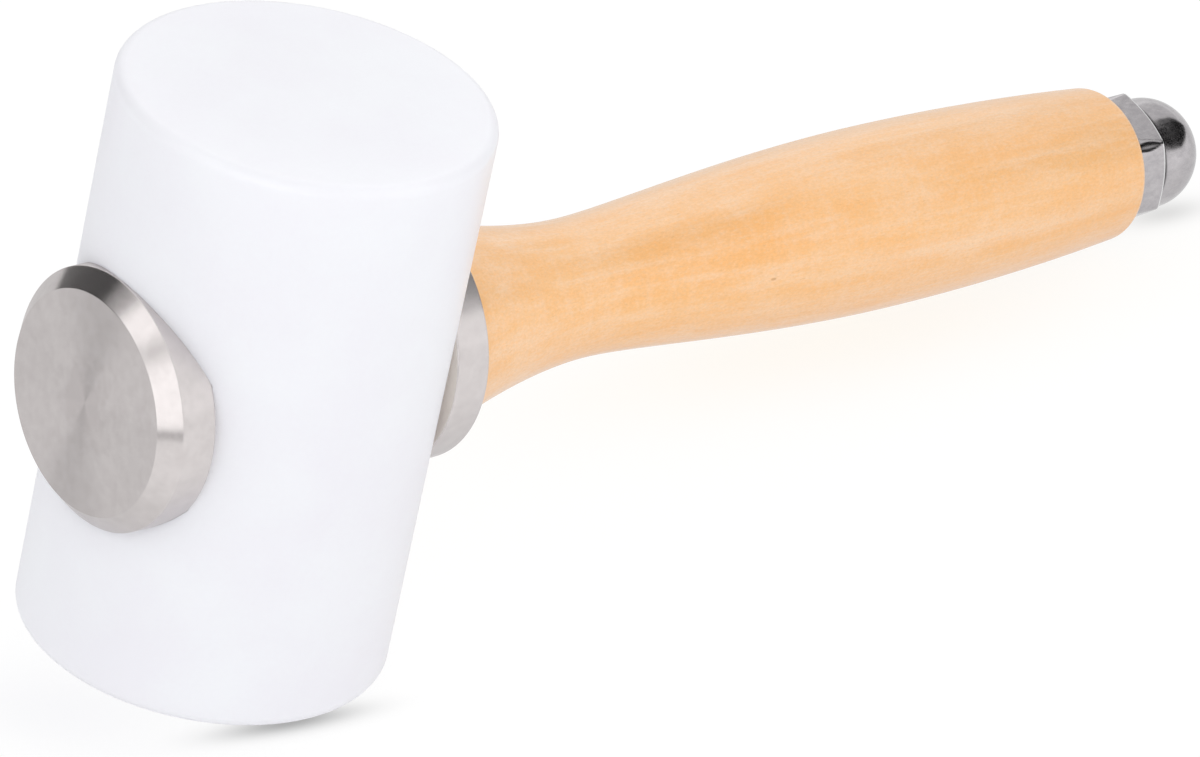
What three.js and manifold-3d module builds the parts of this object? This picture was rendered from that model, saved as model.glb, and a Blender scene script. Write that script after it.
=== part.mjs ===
// A leather carving mallet. One steel stud, screwed into a front cap and closed by an acorn nut at the butt,
// clamps a nylon head, a collar and a turned wooden handle together.
// Lengths are millimetres. In the tool's own frame Z is the head's axis and +X runs down the handle, and the
// frame's origin is the head's centre. The finished tool lies down on the head's lower rim and on the nut.

import * as THREE from "three";
import { mergeVertices } from "three/addons/utils/BufferGeometryUtils.js";
import Module from "manifold-3d";

const wasm = await Module();
wasm.setup();

// Nylon head
const headDiameter = 50;
const headLength = 81.2;
const headRimRadius = 1.6;
const headBoreDiameter = 11;
const seatDepth = 5.3;

// Steel discs in the head's two seats, turned from one bar
const discDiameter = 35;
const discSideClearance = 0.45;
const discFaceGap = 0.3;
const capSideLength = 5.2;
const capChamferLength = 2.4;
const capChamferWidth = 2.5;
const capThreadDepth = 5.6;
const collarThickness = 5.4;
const collarEdgeBreak = 0.45;
const collarBoreDiameter = 11;

// Stud and its threads, which are left plain
const studDiameter = 10;
const studEndChamfer = 1;
const studEndGap = 0.6;
const threadClearance = 0.3;

// Wooden handle
const handleLength = 125.6;
const handleBoreDiameter = 11;
const handleGap = 0.3;
const flareDiameter = 28.7;
const flareEdgeRadius = 0.5;
const waistDiameter = 19;
const gripDiameter = 25.4;
const buttDiameter = 21.9;
const buttRimRadius = 1.4;
const waistPlaceShare = 0.225;
const gripPlaceShare = 0.663;
const flareConeShare = 0.26;
const flareDropShare = 0.42;
const flareEaseShare = 0.36;
const waistEaseShare = 0.18;
const gripEaseShare = 0.45;
const gripFallShare = 0.38;
const buttReachShare = 0.28;
const buttSlopeShare = 0.58;

// Acorn nut
const nutAcrossFlats = 17;
const nutHexHeight = 5.7;
const nutNeckHeight = 2.5;
const nutDomeStep = 0.25;
const nutThreadDepth = 10.8;
const nutGap = 0.3;
const nutTurn = THREE.MathUtils.degToRad(-12);
const nutChamferSlope = Math.tan(THREE.MathUtils.degToRad(30));
const nutBaseStep = 0.35;

// One overrun serves all cuts
const overrun = 5;

// Facets round a turned piece, along an arc and along a curve
const headSegments = 72;
const discSegments = 72;
const handleSegments = 60;
const nutSegments = 48;
const studSegments = 36;
const arcSteps = 5;
const curveSteps = 7;
const domeSteps = 9;
const quarterTurn = Math.PI / 2;

// Places along the tool's X axis, worked out from the sizes
const headRadius = headDiameter / 2;
const discRadius = discDiameter / 2;
const seatFloor = headRadius - seatDepth;
const discBack = seatFloor + discFaceGap;
const collarFace = discBack + collarThickness;
const handleStart = collarFace + handleGap;
const buttFace = handleStart + handleLength;
const nutBase = buttFace + nutGap;
const threadHoleRadius = studDiameter / 2 + threadClearance;

const nylon = new THREE.MeshStandardMaterial({ color: 0xf1f3f8, roughness: 0.35, metalness: 0 });
const turnedSteel = new THREE.MeshStandardMaterial({ color: 0xbdb7b4, roughness: 0.34, metalness: 1 });
const nutSteel = new THREE.MeshStandardMaterial({ color: 0xa9a6a6, roughness: 0.3, metalness: 1 });
const studSteel = new THREE.MeshStandardMaterial({ color: 0x9d9d9f, roughness: 0.4, metalness: 1 });
const wood = new THREE.MeshStandardMaterial({ color: 0xf0be86, roughness: 0.5, metalness: 0 });

// Keeps the positions alone, joins equal corners and drops the triangles that have shrunk to nothing on an axis.
function closed(geometry) {
  geometry.deleteAttribute("normal");
  geometry.deleteAttribute("uv");
  const merged = mergeVertices(geometry);
  const corners = merged.index.array;
  const kept = [];
  for (let i = 0; i < corners.length; i += 3) {
    const [a, b, c] = corners.slice(i, i + 3);
    if (a !== b && b !== c && c !== a) kept.push(a, b, c);
  }
  merged.setIndex(kept);
  return merged;
}

function toManifold(geometry) {
  return new wasm.Manifold(new wasm.Mesh({
    numProp: 3,
    vertProperties: new Float32Array(geometry.attributes.position.array),
    triVerts: new Uint32Array(geometry.index.array),
  }));
}

function toGeometry(manifold) {
  const mesh = manifold.getMesh();
  const geometry = new THREE.BufferGeometry();
  geometry.setAttribute("position", new THREE.BufferAttribute(mesh.vertProperties, 3));
  geometry.setIndex(new THREE.BufferAttribute(mesh.triVerts, 1));
  return geometry;
}

// Points of a profile are (radius, place along the axis), in order from the low end to the high end outside.
function point(radius, place) {
  return new THREE.Vector2(radius, place);
}

// A rounded corner from the low end's face to the side, or from the side to the high end's face.
function roundedCorner(radius, place, round, startAngle) {
  const points = [];
  for (let i = 0; i <= arcSteps; i += 1) {
    const angle = startAngle + quarterTurn * i / arcSteps;
    points.push(point(radius + round * Math.cos(angle), place + round * Math.sin(angle)));
  }
  return points;
}

function turnedAboutZ(profile, segments) {
  const half = Math.PI / segments;
  return closed(new THREE.LatheGeometry(profile, segments, half)).rotateX(quarterTurn);
}

function turnedAboutX(profile, segments) {
  return closed(new THREE.LatheGeometry(profile, segments)).rotateZ(-quarterTurn);
}

function piece(name, geometry, material) {
  const mesh = new THREE.Mesh(geometry, material);
  mesh.name = name;
  return mesh;
}

// A round cutter along X between two places.
function roundCutter(radius, start, end) {
  return toManifold(turnedAboutX([point(0, start), point(radius, start), point(radius, end), point(0, end)],
    discSegments));
}

// The head: a cylinder with soft rims, a flat-bottomed seat sunk in its front and back, and a cross bore.
function makeHead() {
  const halfLength = headLength / 2;
  const rimPlace = halfLength - headRimRadius;
  const rimCentre = headRadius - headRimRadius;
  const billet = toManifold(turnedAboutZ([
    point(0, -halfLength),
    ...roundedCorner(rimCentre, -rimPlace, headRimRadius, -quarterTurn),
    ...roundedCorner(rimCentre, rimPlace, headRimRadius, 0),
    point(0, halfLength),
  ], headSegments));
  const seatRadius = discRadius + discSideClearance;
  const outside = headRadius + overrun;
  const frontSeat = roundCutter(seatRadius, -outside, -seatFloor);
  const rearSeat = roundCutter(seatRadius, seatFloor, outside);
  const bore = roundCutter(headBoreDiameter / 2, -outside, outside);
  return toGeometry(billet.subtract(frontSeat).subtract(rearSeat).subtract(bore));
}

// The cap: a disc with a wide chamfer round its flat face, and a blind threaded hole in its back.
function makeCap() {
  const rim = discBack + capSideLength;
  const face = rim + capChamferLength;
  const holeEnd = discBack + capThreadDepth;
  return turnedAboutX([
    point(0, -face),
    point(discRadius - capChamferWidth, -face),
    point(discRadius, -rim),
    point(discRadius, -discBack),
    point(threadHoleRadius, -discBack),
    point(threadHoleRadius, -holeEnd),
    point(0, -holeEnd),
  ], discSegments);
}

// The collar: a plain disc with a bore and broken edges.
function makeCollar() {
  const bore = collarBoreDiameter / 2;
  return turnedAboutX([
    point(bore, discBack),
    point(discRadius - collarEdgeBreak, discBack),
    point(discRadius, discBack + collarEdgeBreak),
    point(discRadius, collarFace - collarEdgeBreak),
    point(discRadius - collarEdgeBreak, collarFace),
    point(bore, collarFace),
    point(bore, discBack),
  ], discSegments);
}

// The stud: it ends just short of the bottom of both blind threads.
function makeStud() {
  const radius = studDiameter / 2;
  const start = -(discBack + capThreadDepth - studEndGap);
  const end = nutBase + nutThreadDepth - studEndGap;
  return turnedAboutX([
    point(0, start),
    point(radius - studEndChamfer, start),
    point(radius, start + studEndChamfer),
    point(radius, end - studEndChamfer),
    point(radius - studEndChamfer, end),
    point(0, end),
  ], studSegments);
}

// One stretch of the handle's outline between two stations, with the reach of each end's tangent and its slope.
function outlineStretch(start, startReach, startSlope, end, endReach, endSlope) {
  return new THREE.CubicBezierCurve(
    start,
    point(start.x + startReach * startSlope, start.y + startReach),
    point(end.x - endReach * endSlope, end.y - endReach),
    end,
  ).getPoints(curveSteps);
}

// The handle: a cone at the collar that eases into the waist, a long swelling grip and a butt with a round rim.
function makeHandle() {
  const bore = handleBoreDiameter / 2;
  const flare = point(flareDiameter / 2, handleStart + flareEdgeRadius);
  const waist = point(waistDiameter / 2, handleStart + handleLength * waistPlaceShare);
  const grip = point(gripDiameter / 2, handleStart + handleLength * gripPlaceShare);
  const butt = point(buttDiameter / 2, buttFace - buttRimRadius);
  const flareRun = waist.y - flare.y;
  const gripRun = grip.y - waist.y;
  const buttRun = butt.y - grip.y;
  const flareReach = flareRun * flareConeShare;
  const flareSlope = -flareDropShare * (flare.x - waist.x) / flareReach;
  const buttReach = buttRun * buttReachShare;
  const buttSlope = -buttSlopeShare * (grip.x - butt.x) / buttReach;
  const outline = [
    ...outlineStretch(flare, flareReach, flareSlope, waist, flareRun * flareEaseShare, 0),
    ...outlineStretch(waist, gripRun * waistEaseShare, 0, grip, gripRun * gripEaseShare, 0),
    ...outlineStretch(grip, buttRun * gripFallShare, 0, butt, buttReach, buttSlope),
  ];
  return turnedAboutX([
    point(bore, handleStart),
    ...roundedCorner(flare.x - flareEdgeRadius, flare.y, flareEdgeRadius, -quarterTurn),
    ...outline,
    ...roundedCorner(butt.x - buttRimRadius, butt.y, buttRimRadius, 0),
    point(bore, buttFace),
    point(bore, handleStart),
  ], handleSegments);
}

// The acorn nut: a turned blank with a dome and a blind thread, cut to a hexagon, so that the chamfers leave
// the arcs of a real nut on its six flats.
function makeNut() {
  const flatRadius = nutAcrossFlats / 2;
  const cornerRadius = flatRadius / Math.cos(Math.PI / 6);
  const blankRadius = cornerRadius + nutBaseStep;
  const domeRadius = flatRadius - nutDomeStep;
  const baseRadius = flatRadius - nutBaseStep;
  const hexEnd = nutBase + nutHexHeight;
  const domeCentre = hexEnd + nutNeckHeight;
  const blank = [
    point(threadHoleRadius, nutBase),
    point(baseRadius, nutBase),
    point(blankRadius, nutBase + (blankRadius - baseRadius) * nutChamferSlope),
    point(blankRadius, hexEnd - (blankRadius - domeRadius) * nutChamferSlope),
    point(domeRadius, hexEnd),
  ];
  for (let i = 0; i < domeSteps; i += 1) {
    const angle = quarterTurn * i / domeSteps;
    blank.push(point(domeRadius * Math.cos(angle), domeCentre + domeRadius * Math.sin(angle)));
  }
  blank.push(
    point(0, domeCentre + domeRadius),
    point(0, nutBase + nutThreadDepth),
    point(threadHoleRadius, nutBase + nutThreadDepth),
    point(threadHoleRadius, nutBase),
  );
  const length = nutHexHeight + nutNeckHeight + domeRadius + 2 * overrun;
  const prism = closed(new THREE.CylinderGeometry(cornerRadius, cornerRadius, length, 6))
    .rotateZ(-quarterTurn)
    .rotateX(nutTurn)
    .translate(nutBase - overrun + length / 2, 0, 0);
  // The dome's neck is thinner than the hexagon, so the prism cuts only the blank's hexagon part.
  return toGeometry(toManifold(turnedAboutX(blank, nutSegments)).intersect(toManifold(prism)));
}

// The height of the lowest corner of a geometry when the tool is tipped by an angle about Y.
function lowest(geometry, tilt) {
  const { array } = geometry.attributes.position;
  let low = Infinity;
  for (let i = 0; i < array.length; i += 3) {
    low = Math.min(low, array[i + 2] * Math.cos(tilt) - array[i] * Math.sin(tilt));
  }
  return low;
}

// The tilt at which the head's rim and the end of the handle touch the ground together, found by halving.
function restingTilt(head, others) {
  let level = 0;
  let steep = quarterTurn / 2;
  const halvings = 40;
  for (let i = 0; i < halvings; i += 1) {
    const tilt = (level + steep) / 2;
    const handleLow = Math.min(...others.map((geometry) => lowest(geometry, tilt)));
    if (handleLow > lowest(head, tilt)) level = tilt;
    else steep = tilt;
  }
  return level;
}

const head = piece("nylon_head", makeHead(), nylon);
const others = [
  piece("front_cap", makeCap(), turnedSteel),
  piece("rear_collar", makeCollar(), turnedSteel),
  piece("through_rod", makeStud(), studSteel),
  piece("wood_handle", makeHandle(), wood),
  piece("acorn_nut", makeNut(), nutSteel),
];

const tool = new THREE.Group();
tool.add(head, ...others);
tool.rotation.y = restingTilt(head.geometry, others.map((mesh) => mesh.geometry));

// The part's origin is on the ground, under the middle of the box round the whole tool.
const mallet = new THREE.Group();
mallet.add(tool);
mallet.updateMatrixWorld(true);
const box = new THREE.Box3().setFromObject(mallet, true);
const middle = box.getCenter(new THREE.Vector3());
tool.position.set(-middle.x, -middle.y, -box.min.z);

export default mallet;
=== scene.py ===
"""The looks of a leather carving mallet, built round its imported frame.

Every piece is made in the tool's own frame, in millimetres: Z is the head's axis, +X runs down the
handle and the origin is the head's centre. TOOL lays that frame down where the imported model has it.
"""

import math

import bmesh
import bpy
from mathutils import Matrix, Vector


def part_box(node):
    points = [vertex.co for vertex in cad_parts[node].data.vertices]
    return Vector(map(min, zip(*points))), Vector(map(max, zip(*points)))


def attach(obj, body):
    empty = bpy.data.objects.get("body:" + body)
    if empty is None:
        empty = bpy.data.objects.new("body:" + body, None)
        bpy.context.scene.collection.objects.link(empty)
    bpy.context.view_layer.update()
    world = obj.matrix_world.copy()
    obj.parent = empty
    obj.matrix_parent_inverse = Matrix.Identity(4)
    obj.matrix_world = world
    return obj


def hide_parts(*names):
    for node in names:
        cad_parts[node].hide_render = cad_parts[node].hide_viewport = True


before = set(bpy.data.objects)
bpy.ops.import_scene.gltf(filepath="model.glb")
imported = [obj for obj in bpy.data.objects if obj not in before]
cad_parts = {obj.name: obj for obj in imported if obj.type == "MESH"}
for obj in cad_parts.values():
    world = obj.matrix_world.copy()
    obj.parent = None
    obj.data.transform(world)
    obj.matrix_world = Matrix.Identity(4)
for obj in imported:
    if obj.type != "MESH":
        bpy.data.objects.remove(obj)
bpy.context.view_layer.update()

# A millimetre, in metres
MM = 0.001

# Nylon head
HEAD_LENGTH = 81.2
HEAD_RIM_RADIUS = 1.6
HEAD_BORE_RADIUS = 5.5
SEAT_RADIUS = 17.5
SEAT_FLOOR = 19.96
SEAT_EDGE = 0.04

# Steel discs in the head's seats
DISC_RADIUS = 17.5
DISC_BACK = 20.0
DISC_BACK_EDGE = 0.3
CAP_RIM = 25.2
CAP_RIM_EDGE = 0.3
CAP_FACE = 27.6
CAP_FACE_RADIUS = 15.0
CAP_FACE_EDGE = 0.12
CAP_HOLE_RADIUS = 5.3
CAP_HOLE_END = 25.6
COLLAR_FACE = 25.4
COLLAR_EDGE = 0.4
COLLAR_BORE_RADIUS = 5.5

# Stud
STUD_START = -25.0
STUD_END = 161.8
STUD_RADIUS = 4.98
CAP_THREAD_END = -12.0
NUT_THREAD_START = 138.0
THREAD_PITCH = 1.5
THREAD_DEPTH = 0.92
THREAD_CREST_SHARE = 0.18
THREAD_ROOT_SHARE = 0.09

# Wooden handle
HANDLE_START = 25.7
HANDLE_LENGTH = 125.6
HANDLE_BORE_RADIUS = 5.5
FLARE_RADIUS = 14.35
FLARE_EDGE = 0.5
WAIST_RADIUS = 9.5
GRIP_RADIUS = 12.7
BUTT_RADIUS = 10.95
BUTT_RIM = 1.4
BUTT_FLAT_SHARE = 1.3
WAIST_PLACE_SHARE = 0.225
GRIP_PLACE_SHARE = 0.663
FLARE_CONE_SHARE = 0.26
FLARE_DROP_SHARE = 0.42
FLARE_EASE_SHARE = 0.36
WAIST_EASE_SHARE = 0.18
GRIP_EASE_SHARE = 0.45
GRIP_FALL_SHARE = 0.38
BUTT_REACH_SHARE = 0.28
BUTT_SLOPE_SHARE = 0.58

# Acorn nut
NUT_BASE = 151.6
NUT_BASE_RADIUS = 9.1
NUT_FLAT_RADIUS = 8.5
NUT_CORNER = math.radians(18)
NUT_ROUND_AT_BASE = 3.2
NUT_ROUND_AT_DOME = 0.9
NUT_HEX_HEIGHT = 5.7
NUT_NECK_HEIGHT = 3.4
NUT_DOME_RADIUS = 7.87
NUT_DOME_HEIGHT = 7.38
NUT_HOLE_RADIUS = 5.3
NUT_HOLE_DEPTH = 10.8
NUT_EDGE = 0.14
NUT_DROP = 0.18
SIXTH_TURN = math.pi / 3
CHAMFER_SLOPE = math.tan(math.radians(30))

# Painted light on the nut: a painted highlight on the hexagon's edge under the dome, painted shade in the
# crease under the dome, and a painted dark reflection down each corner
NUT_PAINTED_HIGHLIGHT = 1.0
NUT_CREASE_SHADE_HEIGHT = 0.42
NUT_CREASE_SHADE_DEPTH = 1.15
NUT_PAINTED_DARK_DEPTH = 1.4
NUT_LENS_CORNER_SHARES = (0.5, 0.15, 1.0, 0.15, 0.6, 0.4)
NUT_LENS_HALF = math.radians(3.5)
NUT_LENS_SPAN = (math.radians(54), math.radians(169))
NUT_LENS_FADE_SHARES = (1.45, 0.3)
NUT_LENS_LIGHT_SHARES = (0.5, 0.62)

# How finely the meshes are divided: points round a piece, and steps along an arc, a curve or a thread
ROUND = 240
STUD_ROUND = 80
NUT_ROUND = 360
ARC_STEPS = 8
RIM_STEPS = 16
CURVE_STEPS = 40
DOME_STEPS = 32
NUT_SIDE_STEPS = 8
PITCH_STEPS = 8
CARD_STEPS = 8

# The head's side is a grid of columns and rows. A window in it at the front and one at the back hold
# the seats. Rings lead from a window's edge to the seat and lie closer together towards it.
HEAD_COLUMNS = 240
HEAD_ROW = 2.0
WINDOW_COLUMNS = 84
WINDOW_HALF_HEIGHT = 24.0
SEAT_RINGS = 10
SEAT_RINGS_POWER = 1.5
SEAT_FLOOR_STEP = 0.05
SEAT_FLOOR_RING_SHARE = 0.97
END_RING_SHARES = (0, 0.25, 0.6, 0.9, 0.98)

# The photograph's camera in the tool's frame: degrees, and millimetres
CAMERA_AZIMUTH = -45.749
CAMERA_ELEVATION = 29.215
CAMERA_ROLL = 12.754
CAMERA_TARGET = (63.497, 0, -16.313)
CAMERA_DISTANCE = 1168.09
CAMERA_LENS = 258.78


def middle(node):
    """The middle of a node's box, in metres."""
    low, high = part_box(node)
    return (low + high) / 2


def tool_frame():
    """The tool's frame in the row frame, in metres, from where the head and the stud lie."""
    origin = middle("nylon_head")
    along = (middle("through_rod") - origin).normalized()
    across = Vector((0, 1, 0))
    turn = Matrix((along, across, along.cross(across))).transposed()
    return Matrix.Translation(origin) @ turn.to_4x4()


def head_radius():
    """The head's radius in millimetres. Its axis tilts, so only its width across the tool shows it."""
    low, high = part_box("nylon_head")
    return (high.y - low.y) / 2 / MM


TOOL = tool_frame()
HEAD_RADIUS = head_radius()


# Meshes


class Shell:
    """Points in millimetres and the faces between rows of them."""

    def __init__(self):
        self.points = []
        self.faces = []
        self.painted_light = []

    def row(self, points, painted_light=0.0):
        """A row of points. The painted light, one number or a list of them, is 1 on a painted highlight, 0
        where the surface is plain and below 0 where painted shade or a painted dark reflection sits."""
        start = len(self.points)
        self.points.extend(points)
        self.painted_light.extend(painted_light if isinstance(painted_light, list) else [painted_light] * len(points))
        return list(range(start, len(self.points)))

    def band(self, a, b, left_out=()):
        """Faces between two closed rows. A row of one point closes the shell there."""
        count = max(len(a), len(b))
        for i in range(count):
            if i in left_out:
                continue
            j = (i + 1) % count
            if len(a) == 1:
                self.faces.append((a[0], b[j], b[i]))
            elif len(b) == 1:
                self.faces.append((a[i], a[j], b[0]))
            else:
                self.faces.append((a[i], a[j], b[j], b[i]))

    def bands(self, rows, looped=False):
        """Faces between each row and the next, and from the last to the first where the shell is looped."""
        for a, b in zip(rows, rows[1:]):
            self.band(a, b)
        if looped:
            self.band(rows[-1], rows[0])

    def piece(self, name, node, slot, material):
        """Makes the finished piece, which stands for a node of the frame and rides on its body."""
        mesh = bpy.data.meshes.new(name)
        mesh.from_pydata([TOOL @ (Vector(p) * MM) for p in self.points], [], self.faces)
        work = bmesh.new()
        work.from_mesh(mesh)
        bmesh.ops.recalc_face_normals(work, faces=work.faces)
        work.to_mesh(mesh)
        work.free()
        mesh.polygons.foreach_set("use_smooth", [True] * len(mesh.polygons))
        mesh.attributes.new("painted_light", "FLOAT", "POINT").data.foreach_set("value", self.painted_light)
        mesh.materials.append(material)
        made = bpy.data.objects.new(name, mesh)
        bpy.context.scene.collection.objects.link(made)
        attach(made, "root")
        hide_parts(node)


def blended(a, b, share):
    return a + (b - a) * share


def rounded(corners):
    """A profile in which each corner (radius, place, round) becomes an arc that touches both its sides.

    A point beside each end of an arc keeps the flat next to it flat when it is shaded smooth."""
    profile = []
    for i, (radius, place, round_) in enumerate(corners):
        corner = Vector((radius, place))
        if not round_:
            profile.append(corner)
            continue
        before = Vector(corners[i - 1][:2]) - corner
        after = Vector(corners[(i + 1) % len(corners)][:2]) - corner
        half = before.angle(after) / 2
        reach = round_ / math.tan(half)
        inward = (before.normalized() + after.normalized()).normalized()
        centre = corner + inward * round_ / math.sin(half)
        start = corner + before.normalized() * reach - centre
        end = corner + after.normalized() * reach - centre
        profile.append(corner + before.normalized() * min(reach + round_, before.length / 2))
        for step in range(ARC_STEPS + 1):
            profile.append(centre + round_ * start.slerp(end, step / ARC_STEPS))
        profile.append(corner + after.normalized() * min(reach + round_, after.length / 2))
    return profile


def ring_about_x(radius, place, count=ROUND):
    """A ring of points about the handle's axis. Its radius and place may be functions of the angle."""
    if radius == 0:
        return [(place, 0, 0)]
    points = []
    for i in range(count):
        angle = 2 * math.pi * i / count
        r = radius(angle) if callable(radius) else radius
        x = place(angle) if callable(place) else place
        points.append((x, r * math.cos(angle), r * math.sin(angle)))
    return points


def turned(profile, count=ROUND, looped=False):
    """The shell of a piece turned about the handle's axis, from a profile of radii and places."""
    shell = Shell()
    rows = [shell.row(ring_about_x(radius, place, count)) for radius, place in profile]
    shell.bands(rows, looped)
    return shell


def make_cap(material):
    """The front cap: a disc with a wide chamfer round its turned face, and a blind hole in its back."""
    turned(rounded([
        (0, -CAP_FACE, 0),
        (CAP_FACE_RADIUS, -CAP_FACE, CAP_FACE_EDGE),
        (DISC_RADIUS, -CAP_RIM, CAP_RIM_EDGE),
        (DISC_RADIUS, -DISC_BACK, DISC_BACK_EDGE),
        (CAP_HOLE_RADIUS, -DISC_BACK, DISC_BACK_EDGE),
        (CAP_HOLE_RADIUS, -CAP_HOLE_END, 0),
        (0, -CAP_HOLE_END, 0),
    ])).piece("cap_turned", "front_cap", "turned_steel", material)


def make_collar(material):
    """The rear collar: a plain disc with a bore."""
    turned(rounded([
        (COLLAR_BORE_RADIUS, DISC_BACK, DISC_BACK_EDGE),
        (DISC_RADIUS, DISC_BACK, COLLAR_EDGE),
        (DISC_RADIUS, COLLAR_FACE, COLLAR_EDGE),
        (COLLAR_BORE_RADIUS, COLLAR_FACE, DISC_BACK_EDGE),
    ]), looped=True).piece("collar_turned", "rear_collar", "turned_steel", material)


def outline_stretch(start, start_reach, start_slope, end, end_reach, end_slope):
    """Points of a Bezier curve between two stations of the handle, without the last one."""
    a = start + Vector((start_reach * start_slope, start_reach))
    b = end - Vector((end_reach * end_slope, end_reach))
    points = []
    for i in range(CURVE_STEPS):
        t = i / CURVE_STEPS
        s = 1 - t
        points.append(start * s ** 3 + a * 3 * s * s * t + b * 3 * s * t * t + end * t ** 3)
    return points


def make_handle(material):
    """The handle: a cone at the collar, a waist, a long swelling grip and a butt with a round rim."""
    butt_face = HANDLE_START + HANDLE_LENGTH
    flare = Vector((FLARE_RADIUS, HANDLE_START + FLARE_EDGE))
    waist = Vector((WAIST_RADIUS, HANDLE_START + HANDLE_LENGTH * WAIST_PLACE_SHARE))
    grip = Vector((GRIP_RADIUS, HANDLE_START + HANDLE_LENGTH * GRIP_PLACE_SHARE))
    butt = Vector((BUTT_RADIUS, butt_face - BUTT_RIM))
    flare_run = waist.y - flare.y
    grip_run = grip.y - waist.y
    butt_run = butt.y - grip.y
    flare_reach = flare_run * FLARE_CONE_SHARE
    flare_slope = -FLARE_DROP_SHARE * (flare.x - waist.x) / flare_reach
    butt_reach = butt_run * BUTT_REACH_SHARE
    butt_slope = -BUTT_SLOPE_SHARE * (grip.x - butt.x) / butt_reach
    profile = [
        Vector((HANDLE_BORE_RADIUS, HANDLE_START)),
        Vector((FLARE_RADIUS - 2 * FLARE_EDGE, HANDLE_START)),
    ]
    for i in range(ARC_STEPS):
        angle = math.pi / 2 * (i / ARC_STEPS - 1)
        profile.append(flare + FLARE_EDGE * Vector((math.cos(angle) - 1, math.sin(angle))))
    profile += outline_stretch(flare, flare_reach, flare_slope, waist, flare_run * FLARE_EASE_SHARE, 0)
    profile += outline_stretch(waist, grip_run * WAIST_EASE_SHARE, 0, grip, grip_run * GRIP_EASE_SHARE, 0)
    profile += outline_stretch(grip, butt_run * GRIP_FALL_SHARE, 0, butt, butt_reach, butt_slope)
    for i in range(RIM_STEPS + 1):
        angle = math.pi / 2 * i / RIM_STEPS
        profile.append(butt + BUTT_RIM * Vector((math.cos(angle) - 1, math.sin(angle))))
    profile += [
        Vector((BUTT_RADIUS - BUTT_FLAT_SHARE * BUTT_RIM, butt_face)),
        Vector((HANDLE_BORE_RADIUS, butt_face)),
    ]
    turned(profile, looped=True).piece("handle_turned", "wood_handle", "wood", material)


def thread_height(place, angle):
    """The height of a 60 degree thread above its root, from 0 to 1. Its crest and root are narrow flats."""
    turn = (place / THREAD_PITCH - angle / (2 * math.pi)) % 1
    ridge = 1 - abs(2 * turn - 1)
    flank_share = 1 - THREAD_ROOT_SHARE - THREAD_CREST_SHARE
    return min(1, max(0, (ridge - THREAD_ROOT_SHARE) / flank_share))


def thread_profile(start, end):
    """The profile of a threaded stretch of the stud. The thread is lower at the stud's two ends."""
    root = STUD_RADIUS - THREAD_DEPTH

    def radius_at(place):
        from_end = min(place - STUD_START, STUD_END - place)
        depth = THREAD_DEPTH * min(1, from_end / THREAD_PITCH + 1 / PITCH_STEPS)
        return lambda angle: root + depth * thread_height(place, angle)

    count = round((end - start) / THREAD_PITCH * PITCH_STEPS)
    places = [blended(start, end, i / count) for i in range(count + 1)]
    return [(radius_at(place), place) for place in places]


def make_stud(material):
    """The stud: plain in the middle, with an M10 thread on each end."""
    profile = [
        (0, STUD_START),
        *thread_profile(STUD_START, CAP_THREAD_END),
        (STUD_RADIUS, CAP_THREAD_END + THREAD_DEPTH),
        (STUD_RADIUS, NUT_THREAD_START - THREAD_DEPTH),
        *thread_profile(NUT_THREAD_START, STUD_END),
        (0, STUD_END),
    ]
    turned(profile, STUD_ROUND).piece("stud_threaded", "through_rod", "stud_steel", material)


def off_flat(angle):
    """The angle between a place on the nut and the middle of its nearest flat."""
    return abs((angle - NUT_CORNER) % SIXTH_TURN - SIXTH_TURN / 2)


def hexagon_radius(angle, round_):
    """The distance from the nut's axis to its hexagon, whose corners have a radius."""
    from_flat = off_flat(angle)
    straight = NUT_FLAT_RADIUS - round_
    if NUT_FLAT_RADIUS * math.tan(from_flat) <= straight * math.tan(SIXTH_TURN / 2):
        return NUT_FLAT_RADIUS / math.cos(from_flat)
    centre = straight / math.cos(SIXTH_TURN / 2)
    off = SIXTH_TURN / 2 - from_flat
    return centre * math.cos(off) + math.sqrt(round_ ** 2 - (centre * math.sin(off)) ** 2)


def corner_dark_lens(share):
    """The painted light round a row of the hexagon: down each corner a painted dark reflection in the shape
    of a lens, with a paler middle where it is wide. The lenses are uneven from corner to corner."""
    widening = math.sin(blended(*NUT_LENS_SPAN, share))
    half = NUT_LENS_HALF * widening
    fade_end, fade = NUT_LENS_FADE_SHARES
    lightening, light_end = NUT_LENS_LIGHT_SHARES

    def painted_light(angle):
        corner = round((angle - NUT_CORNER) / SIXTH_TURN) % len(NUT_LENS_CORNER_SHARES)
        off = (SIXTH_TURN / 2 - off_flat(angle)) / half
        dark = max(0.0, min(1.0, (fade_end - off) / fade))
        light = lightening * widening ** 2 * max(0.0, 1 - (off / light_end) ** 2)
        return -NUT_PAINTED_DARK_DEPTH * NUT_LENS_CORNER_SHARES[corner] * dark * (1 - light)

    return [painted_light(2 * math.pi * i / NUT_ROUND) for i in range(NUT_ROUND)]


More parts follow.
